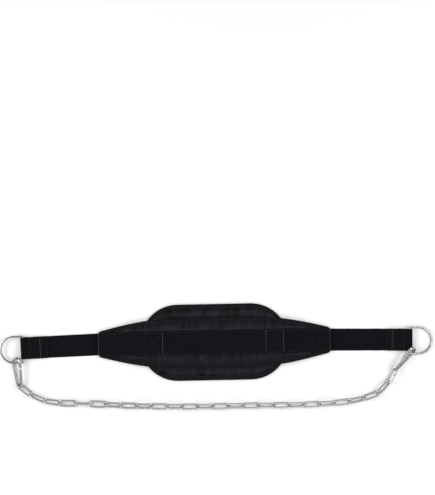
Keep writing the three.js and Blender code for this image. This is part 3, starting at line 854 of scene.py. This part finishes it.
class StrapLie:
    """How one strap lies: its own X runs out from the panel, and its bar is the ring's"""

    # loop is the outer radius of the fold round the bar
    thick = 1.8 * MM
    loop = 4.25 * MM
    fold_back = 58 * MM
    rise_length = 74 * MM

    def __init__(self, end):
        self.way = 1 if end == "right" else -1
        points = vertices_of("strap_" + end)
        _, axes, _ = lie_of("strap_" + end)
        side = axes[np.argmax(np.abs(axes[:, 1]))] * (1, 1, 0)
        side *= np.sign(side[1]) / np.linalg.norm(side)
        self.out = self.way * np.array([side[1], -side[0], 0])
        self.side = side
        reach = points @ side
        self.width = np.ptp(reach)
        self.middle = (reach.max() + reach.min()) / 2 * side
        along = points @ self.out
        self.start, self.reach = along.min(), along.max()
        self.bar = self.reach - self.loop
        self.lift_end = points[:, 2].max() - 2 * self.loop
        self.fold = self.reach - self.fold_back

    def lift(self, along):
        return self.lift_end * smoothstep(along, self.reach - self.rise_length, self.bar)

    def at(self, along, height):
        along, height = np.broadcast_arrays(along, height)
        return self.middle + along[:, None] * self.out + height[:, None] * np.array([0, 0, 1])

    def top(self, along):
        """Height of the fold-back layer's middle, which lies just clear of the lower layer"""
        high = 2 * self.loop - self.thick / 2
        low = 1.53 * self.thick
        near_bar = 1 - smoothstep(self.bar - along, 1 * MM, 13 * MM)
        return self.lift(along) + low + (high - low) * near_bar


def make_strap(end):
    """Strap that runs out to the ring, round its bar and back over itself"""
    swaying, uneven = 0.5 * MM, 0.08 * MM
    lie = StrapLie(end)
    rise_start = lie.reach - lie.rise_length
    below = np.linspace(lie.start, rise_start, 8)[:-1]
    below = np.concatenate([below, np.linspace(rise_start, lie.bar, 34)])
    lower = np.column_stack([below, lie.thick / 2 + lie.lift(below)])
    centre = (lie.bar, lie.loop + lie.lift_end)
    nose = arc(centre, lie.loop - lie.thick / 2, -90, 90, 16)[1:]
    above = np.linspace(lie.bar - 0.6 * MM, lie.fold, 48)
    upper = np.column_stack([above, lie.top(above)])
    flat = np.concatenate([lower, nose, upper])
    path = lie.at(flat[:, 0], flat[:, 1])
    up = np.cross(tangents(path), lie.side) * -lie.way
    up *= -1 if up[0][2] < 0 else 1
    sections = np.repeat(oblong(lie.width, lie.thick, 5, 14)[None], len(path), axis=0)
    spots = path[:, None] + sections[..., :1] * lie.side
    near_edge = smoothstep(np.abs(sections[..., 0]), 0.3 * lie.width, 0.5 * lie.width)
    sway = ripple(path, 14 * MM, 17)[:, None] * near_edge
    sections[..., 0] += swaying * sway * np.sign(sections[..., 0])
    rough = ripple(spots.reshape(-1, 3), 11 * MM, 13).reshape(sections.shape[:2])
    sections[..., 1] += uneven * rough * (sections[..., 1] > 0)
    vertices, faces = sweep(path, lie.side, up, sections)
    if lie.way > 0:
        faces = [face[::-1] for face in faces]
    add_piece(
        "strap_webbing_" + end, vertices, faces, webbing_finish(),
        stands_for=["strap_" + end],
    )


# Stitching


def bead(head, tail, up):
    """One stitch: a small bead of thread between two points, bent down at its ends"""
    pitch, radius, sink = cloth().stitch, cloth().thread / 2, 0.12 * MM
    # Each ring's place and size, as shares of a stitch and of the thread
    rings = [(-0.36, 0.35), (-0.28, 0.85), (0, 1), (0.28, 0.85), (0.36, 0.35)]
    along = (tail - head) / max(np.linalg.norm(tail - head), 1e-9)
    across = np.cross(along, up)
    across /= np.linalg.norm(across)
    middle = (head + tail) / 2 + up * (radius - 2 * sink)
    path = [middle + along * place * pitch - up * (1 - size) * radius for place, size in rings]
    sections = np.array([circle(radius * size, 6) for _, size in rings])
    return sweep(path, across, np.cross(along, across), sections)


def stitches(lines):
    """Vertices and faces of the stitches along several lines on surfaces that face upwards"""
    pitch, near = cloth().stitch, 0.1 * MM
    up = np.array([0, 0, 1])
    beads = []
    for line in lines:
        steps = np.linalg.norm(np.diff(line, axis=0), axis=1)
        walked = np.concatenate([[0], np.cumsum(steps)])
        count = max(1, round(walked[-1] / pitch))
        middles = (np.arange(count) + 0.5) * walked[-1] / count
        heads, tails = (
            np.stack([np.interp(middles + way, walked, column) for column in line.T], axis=1)
            for way in (-near, near)
        )
        beads += [bead(head, tail, up) for head, tail in zip(heads, tails)]
    return joined(beads)


def straight(start, end, height, dent):
    """Points of a seam from start to end, in a dent of a surface with its height by x"""
    xs = np.linspace(start[0], end[0], 24)
    ys = np.linspace(start[1], end[1], 24)
    return np.column_stack([xs, ys, height(xs) - dent])


def crossed_box(middle):
    """A box's ends whose thread has a painted highlight, then its other seams, each from corner to
    corner
    """
    half_long, half_wide = cloth().box_length / 2, cloth().box_width / 2
    left, right = middle - half_long, middle + half_long
    corners = [(left, -half_wide), (right, -half_wide), (right, half_wide), (left, half_wide)]
    ends = {-1: (corners[0], corners[3]), 1: (corners[1], corners[2])}
    way = 1 if middle > 0 else -1
    outer = abs(middle) > (cloth().outer_box + cloth().inner_box) / 2
    # pale holds the ends whose thread gets the painted highlight
    pale = (way,) if outer else PAINTED_HIGHLIGHT_INNER_ENDS[way]
    others = [(corners[0], corners[2]), (corners[1], corners[3])]
    others += [(corners[0], corners[1]), (corners[3], corners[2])]
    others += [seam for side, seam in ends.items() if side not in pale]
    return [ends[side] for side in pale], others


def make_box_stitching():
    top = along_the_belt("cross_webbing")[2]
    boxes = [crossed_box(x) for x in box_places()]
    # The first set of seams is drawn in thread with a painted highlight, the second in the brown
    # thread
    threads = (("box_end_stitching_painted_highlight", painted_highlight_thread_finish()), ("box_stitching", box_thread_finish()))
    for which, (name, finish) in enumerate(threads):
        seams = [seam for box in boxes for seam in box[which]]
        vertices, faces = stitches([straight(a, b, top, 0.2 * MM) for a, b in seams])
        add_piece(name, vertices, faces, finish)


def make_edge_stitching():
    """Seams of the tapes, and of the webbing's two long edges"""
    beside_webbing, from_edge, from_end = 0.8 * MM, 2.6 * MM, 4 * MM
    _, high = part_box("pad_binding")
    spots, _ = pad_outline(np.arange(361) / 360, SEAM_INSET)
    lines = [np.column_stack([spots, np.full(len(spots), high[2])])]
    tape_low, tape_high = along_the_belt("taper_binding_upper")[1:]
    tall = tape_high(0) - tape_low(0)
    end, webbing_half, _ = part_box("cross_webbing")[1]
    for side in (1, -1):
        fold, inwards = panel_tape_path(side)
        seam = fold + SEAM_INSET * inwards + (0, 0, tall)
        lines.append(seam[np.abs(seam[:, 1]) > webbing_half + beside_webbing])
    half, _, top = along_the_belt("cross_webbing")
    x = np.linspace(-1, 1, 200) * (end - from_end)
    for side in (1, -1):
        lines.append(np.column_stack([x, side * (half(x) - from_edge), top(x)]))
    vertices, faces = stitches(lines)
    add_piece("edge_stitching", vertices, faces, thread_finish())


def make_strap_stitching(end):
    """Box sewn through a strap's folded end, with a seam whose thread has a painted highlight and a
    dark seam across its middle
    """
    lie = StrapLie(end)
    margin = 3 * MM
    half = lie.width / 2 - margin
    inner, outer = lie.fold + margin, lie.reach - 18 * MM
    # pale is the place of the seam across the strap whose thread gets a painted highlight
    pale = lie.reach - 40.5 * MM

    def line(a, b):
        along = np.linspace(a[0], b[0], 20)
        aside = np.linspace(a[1], b[1], 20)
        return lie.at(along, lie.top(along) + lie.thick / 2) + aside[:, None] * lie.side

    corners = [(inner, -half), (outer, -half), (outer, half), (inner, half)]
    box = [line(corners[i], corners[(i + 1) % 4]) for i in range(4)]
    painted_highlight_seam, dark_seam = (line((x, -half), (x, half)) for x in (pale, pale - margin))
    for name, finish, seams in (
        ("strap_stitching_", thread_finish(), [*box, dark_seam]),
        ("strap_end_stitching_painted_highlight_", painted_highlight_thread_finish(), [painted_highlight_seam]),
    ):
        vertices, faces = stitches(seams)
        add_piece(name + end, vertices, faces, finish)


# Steel


def make_ring(end):
    """D-ring: a straight bar in the strap's fold, and a bow that the hook hangs on"""
    node = "d_ring_" + end
    wire, corner = steel().ring_wire, steel().ring_corner
    middle, axes, reach = lie_of(node)
    across = np.argmax(np.abs(axes[:2, 1]))
    side, out = axes[across], axes[1 - across]
    width, depth = reach[across], reach[1 - across]
    out *= np.sign(out[0]) * (1 if end == "right" else -1)
    half = (width - wire) / 2
    inset = half - corner
    straight_part = depth - wire - half
    outline = np.concatenate([
        arc((corner, -inset), corner, -180, -90, 8),
        arc((straight_part, 0), half, -90, 90, 56),
        arc((corner, inset), corner, 90, 180, 8),
    ]) - ((depth - wire) / 2, 0)
    lie = (middle, np.array([out, side, np.cross(out, side)]))
    vertices, faces = bent_wire(outline, lie, wire / 2, 20)
    add_piece("ring_" + end, vertices, faces, shaded_ring_finish(), stands_for=[node])


class HookShape:
    """Pear-shaped hook: its gate's limb runs along X from the origin, the other lies at +Y"""

    def __init__(self, end):
        sizes = steel()
        self.wire, self.wide, self.narrow = sizes.hook_wire, sizes.wide_radius, sizes.narrow_radius
        span = sizes.hook_length - self.wire - self.wide - self.narrow
        self.turn = math.degrees(math.asin((self.wide - self.narrow) / span))
        self.limb = span * math.cos(math.radians(self.turn))
        self.hinge = sizes.hinge_share * self.limb
        self.nose = self.hinge + sizes.gate_length + 0.5 * MM
        self.tongue = self.wire / 3
        joint = next(j for j in frame["joints"] if j["child"] == end + "_gate")
        self.pin = np.array(joint["pos_m"])
        normal = np.array(joint["axis"]) / np.linalg.norm(joint["axis"])
        along = vertices_of("gate_" + end).mean(axis=0) - self.pin
        along -= along @ normal * normal
        _, axes, _ = lie_of("gate_" + end)
        along = axes[0] * np.sign(axes[0] @ along)
        across = np.cross(normal, along)
        body = vertices_of("hook_" + end).mean(axis=0) - self.pin
        across *= np.sign(across @ body)
        self.axes = np.array([along, across, np.cross(along, across)])
        self.origin = self.pin - self.hinge * along


def make_hook(end):
    """Hook without its gate: a tongue at the hinge and a slit nose where the gate's latch rests"""
    shape = HookShape(end)
    radius = shape.wire / 2
    tongue_start = shape.hinge - 3.4 * MM
    tongue = np.linspace(shape.hinge + 2.7 * MM, tongue_start + 0.1 * MM, 14)
    limb = [tongue_start - 0.1 * MM, tongue_start - 1 * MM, 0.3 * shape.hinge]
    start = np.concatenate([tongue, limb])
    narrow = arc((0, shape.narrow), shape.narrow, -90, -270 + 2 * shape.turn, 26)
    wide = arc((shape.limb, shape.wide), shape.wide, 90 + 2 * shape.turn, -90, 36)
    nose = [(shape.nose + 1 * MM, 0), (shape.nose + 0.2 * MM, 0), (shape.nose, 0)]
    outline = np.concatenate([np.column_stack([start, 0 * start]), narrow, wide, nose])
    path = shape.origin + outline @ shape.axes[:2]
    across = np.cross(tangents(path), shape.axes[2])
    sections = np.repeat(circle(radius, 24)[None], len(path), axis=0)
    past_hinge = np.clip((start - shape.hinge) / radius, 0, 0.97)
    sections[:len(start), :, 0] *= np.sqrt(1 - past_hinge**2)[:, None]
    flat = np.clip(sections[0, :, 1], -shape.tongue / 2, shape.tongue / 2)
    sections[:len(tongue), :, 1] = flat
    sections[-1] *= 0.93
    vertices, faces = sweep(path, across, shape.axes[2], sections)
    piece = add_piece(
        "hook_body_" + end, vertices, faces, steel_finish(),
        stands_for=["hook_" + end],
    )
    slit = (shape.tongue + 0.4 * MM) / 2
    low = (shape.nose - 3 * MM, -2 * radius, -slit)
    high = (shape.nose + 3.2 * MM, 2 * radius, slit)
    carve(piece, (shape.origin, shape.axes), low, high)


def make_gate(end):
    """Gate with a slit eye round the hook's tongue, a flat latch at its tip and a rivet"""
    play, latch_width, rivet_radius, bevel = 0.1 * MM, 3.4 * MM, 0.95 * MM, 0.15 * MM
    shape = HookShape(end)
    along, across, up = shape.axes
    eye = shape.wire / 2 - play
    rod = steel().gate_rod / 2
    tip = steel().gate_length
    back = eye * np.cos(np.linspace(math.pi * 0.97, math.pi / 2, 10))
    front = np.array([0.1, 0.3, 0.5, 0.8, 0.97, 0.995, 1]) * tip
    x = np.concatenate([back, front])
    at_tip = x > 0.98 * tip
    rounded = rod * (1 - 6 * (x / tip - 0.98))
    wide = np.where(x < 0, eye * np.sqrt(np.maximum(1 - (x / eye) ** 2, 0.005)), rod)
    wide = np.where(at_tip, rounded, wide)
    sections = np.repeat(circle(1, 24)[None], len(x), axis=0)
    sections[..., 0] *= wide[:, None]
    sections[..., 1] *= np.where(at_tip, rounded, rod)[:, None]
    vertices, faces = sweep(shape.pin + x[:, None] * along, across, up, sections)
    piece = add_piece(
        "gate_body_" + end, vertices, [face[::-1] for face in faces], steel_finish(),
        body=end + "_gate", stands_for=["gate_" + end],
    )
    slit = shape.tongue / 2 + 0.3 * MM
    low = (-2 * eye, -2 * eye, -slit)
    carve(piece, (shape.pin, shape.axes), low, (eye + 1.5 * MM, 2 * eye, slit))
    places = np.array([tip - 1 * MM, tip + 2.3 * MM, tip + 2.5 * MM])
    latch_section = oblong(latch_width, shape.tongue - 0.3 * MM, 4)
    latch = np.array([latch_section * size for size in (1, 1, 0.8)])
    vertices, faces = sweep(shape.pin + places[:, None] * along, across, up, latch)
    add_piece(
        "gate_latch_" + end, vertices, faces, steel_finish(), body=end + "_gate"
    )
    reach = rod - play
    heights = np.array([-reach, bevel - reach, reach - bevel, reach])
    rivet = np.array([circle(rivet_radius * size, 16) for size in (0.8, 1, 1, 0.8)])
    vertices, faces = sweep(shape.pin + heights[:, None] * up, along, across, rivet)
    add_piece(
        "gate_rivet_" + end, vertices, faces, rivet_finish(), body=end + "_gate"
    )


def make_link(node):
    """Oval link with the swelling of its weld on one straight side"""
    wire = steel().link_wire
    middle, axes, reach = lie_of(node)
    axes[0] *= np.sign(axes[0][0])
    axes[2] *= np.sign(axes[2][2])
    axes[1] = np.cross(axes[2], axes[0])
    half = (reach[1] - wire) / 2
    straight_half = (reach[0] - wire) / 2 - half
    limb = np.linspace(-straight_half, straight_half, 13)
    outline = np.concatenate([
        np.column_stack([limb, np.full(13, -half)])[:-1],
        arc((straight_half, 0), half, -90, 90, 20)[:-1],
        np.column_stack([-limb, np.full(13, half)])[:-1],
        arc((-straight_half, 0), half, 90, 270, 20)[:-1],
    ])
    welded_side = outline[:, 1] < -0.99 * half
    swelling = np.where(welded_side, np.exp(-((outline[:, 0] / (1.5 * MM)) ** 2)), 0)
    radii = wire / 2 * (1 + steel().weld * swelling)
    vertices, faces = bent_wire(outline, (middle, axes), radii, 14)
    add_piece("chain_" + node, vertices, faces, steel_finish(), stands_for=[node])


# Operators


class DIPBELT_OT_back_pad(bpy.types.Operator):
    """Make the wide back pad and the tape round it"""

    bl_idname = "dip_belt.back_pad"
    bl_label = "Back Pad"

    def execute(self, context):
        make_back_pad()
        make_pad_tape()
        return {"FINISHED"}


class DIPBELT_OT_panel(bpy.types.Operator):
    """Make the tapered panel and both of its tapes"""

    bl_idname = "dip_belt.panel"
    bl_label = "Tapered Panel"

    def execute(self, context):
        make_panel()
        make_panel_tape("upper", 1)
        make_panel_tape("lower", -1)
        return {"FINISHED"}


class DIPBELT_OT_webbing(bpy.types.Operator):
    """Make the webbing across the panel and the two straps"""

    bl_idname = "dip_belt.webbing"
    bl_label = "Webbing"

    def execute(self, context):
        make_cross_webbing()
        for end in ENDS:
            make_strap(end)
        return {"FINISHED"}


class DIPBELT_OT_stitching(bpy.types.Operator):
    """Sew the crossed boxes, the tapes and the straps"""

    bl_idname = "dip_belt.stitching"
    bl_label = "Stitching"

    def execute(self, context):
        make_box_stitching()
        make_edge_stitching()
        for end in ENDS:
            make_strap_stitching(end)
        return {"FINISHED"}


class DIPBELT_OT_rings(bpy.types.Operator):
    """Make the two D-rings"""

    bl_idname = "dip_belt.rings"
    bl_label = "D-Rings"

    def execute(self, context):
        for end in ENDS:
            make_ring(end)
        return {"FINISHED"}


class DIPBELT_OT_hooks(bpy.types.Operator):
    """Make the two snap hooks and their gates"""

    bl_idname = "dip_belt.hooks"
    bl_label = "Snap Hooks"

    def execute(self, context):
        for end in ENDS:
            make_hook(end)
            make_gate(end)
        return {"FINISHED"}


class DIPBELT_OT_chain(bpy.types.Operator):
    """Make the chain, link by link"""

    bl_idname = "dip_belt.chain"
    bl_label = "Chain"

    def execute(self, context):
        for node in LINKS:
            make_link(node)
        return {"FINISHED"}


class DIPBELT_OT_stage(bpy.types.Operator):
    """Lay the pale floor, hang the soft lights and set the camera"""

    bl_idname = "dip_belt.stage"
    bl_label = "Stage"

    def execute(self, context):
        lay_floor()
        hang_card()
        light_studio()
        set_camera()
        return {"FINISHED"}


# Stage


def add_backdrop(name, vertices, faces, finish):
    """Plain sheet that belongs to the stage and not to the belt"""
    mesh = mesh_of(name, vertices, faces)
    mesh.materials.append(finish.material)
    sheet = placed(name, mesh)
    return sheet


def lay_floor():
    half = 9.0
    corners = [(-half, -half, 0), (half, -half, 0), (half, half, 0), (-half, half, 0)]
    finish = Finish("pale_floor", tuple(stage().floor_colour), 0.85, gloss=0.1)
    add_backdrop("floor", corners, [(0, 1, 2, 3)], finish)


def hang_card():
    """Dark card round the table, out of the picture, which gives the steel its dark edges"""
    count, radius, low, high = 48, 3.2, 0.3, 2.6
    corners = [(x, y, z) for z in (low, high) for x, y in circle(radius, count)]
    faces = [(i, (i + 1) % count, count + (i + 1) % count, count + i) for i in range(count)]
    finish = Finish("dark_card", tuple(stage().card_colour), 0.9)
    card = add_backdrop("dark_card", corners, faces, finish)
    card.visible_camera = card.visible_diffuse = card.visible_shadow = False


def light_studio():
    world = bpy.context.scene.world or bpy.data.worlds.new("studio")
    bpy.context.scene.world = world
    world.use_nodes = True
    sky = world.node_tree.nodes["Background"]
    sky.inputs["Color"].default_value = (1, 1, 1, 1)
    sky.inputs["Strength"].default_value = stage().sky
    boxes = [
        ("left_box", (-1.6, 0.35, 1.5), 1.0, 1.0),
        ("right_box", (1.6, 0.15, 1.5), 1.0, 0.9),
        ("front_box", (0.2, -1.5, 1.9), 0.9, 0.35),
    ]
    for name, place, size, power in boxes:
        lamp = bpy.data.lights.new(name, "AREA")
        lamp.size, lamp.energy = size, power * stage().key
        box = placed(name, lamp)
        box.location = place
        box.rotation_euler = (-Vector(place)).to_track_quat("-Z", "Y").to_euler()


def set_camera():
    eye = bpy.data.cameras.new("camera")
    eye.lens = eye.sensor_width * stage().camera_height / stage().view_height
    eye.clip_end = 100
    camera = placed("camera", eye)
    camera.location = (stage().view_x, stage().view_y, stage().camera_height)
    camera.rotation_euler = (0, 0, stage().view_turn)
    bpy.context.scene.camera = camera
    bpy.context.scene.view_settings.view_transform = "Standard"


class DIPBELT_PT_belt(bpy.types.Panel):
    """Lists the steps and sizes of the dip belt"""

    bl_idname = "DIPBELT_PT_belt"
    bl_label = "Dip Belt"
    bl_space_type = "VIEW_3D"
    bl_region_type = "UI"
    bl_category = "Dip Belt"

    def draw(self, context):
        for step in STEPS:
            self.layout.operator(step.bl_idname)
        for settings in (cloth(), steel(), stage()):
            box = self.layout.box()
            for name in settings.__annotations__:
                box.prop(settings, name)


STEPS = (
    DIPBELT_OT_back_pad,
    DIPBELT_OT_panel,
    DIPBELT_OT_webbing,
    DIPBELT_OT_stitching,
    DIPBELT_OT_rings,
    DIPBELT_OT_hooks,
    DIPBELT_OT_chain,
    DIPBELT_OT_stage,
)
SETTINGS = {
    "dip_belt_cloth": ClothSettings,
    "dip_belt_steel": SteelSettings,
    "dip_belt_stage": StageSettings,
}


def register():
    for name, group in SETTINGS.items():
        bpy.utils.register_class(group)
        setattr(bpy.types.Scene, name, PointerProperty(type=group))
    for step in (*STEPS, DIPBELT_PT_belt):
        bpy.utils.register_class(step)


def unregister():
    for step in (DIPBELT_PT_belt, *reversed(STEPS)):
        bpy.utils.unregister_class(step)
    for name, group in SETTINGS.items():
        delattr(bpy.types.Scene, name)
        bpy.utils.unregister_class(group)


def main():
    register()
    bpy.ops.dip_belt.back_pad()
    bpy.ops.dip_belt.panel()
    bpy.ops.dip_belt.webbing()
    bpy.ops.dip_belt.stitching()
    bpy.ops.dip_belt.rings()
    bpy.ops.dip_belt.hooks()
    bpy.ops.dip_belt.chain()
    bpy.ops.dip_belt.stage()


if __name__ == "__main__":
    main()
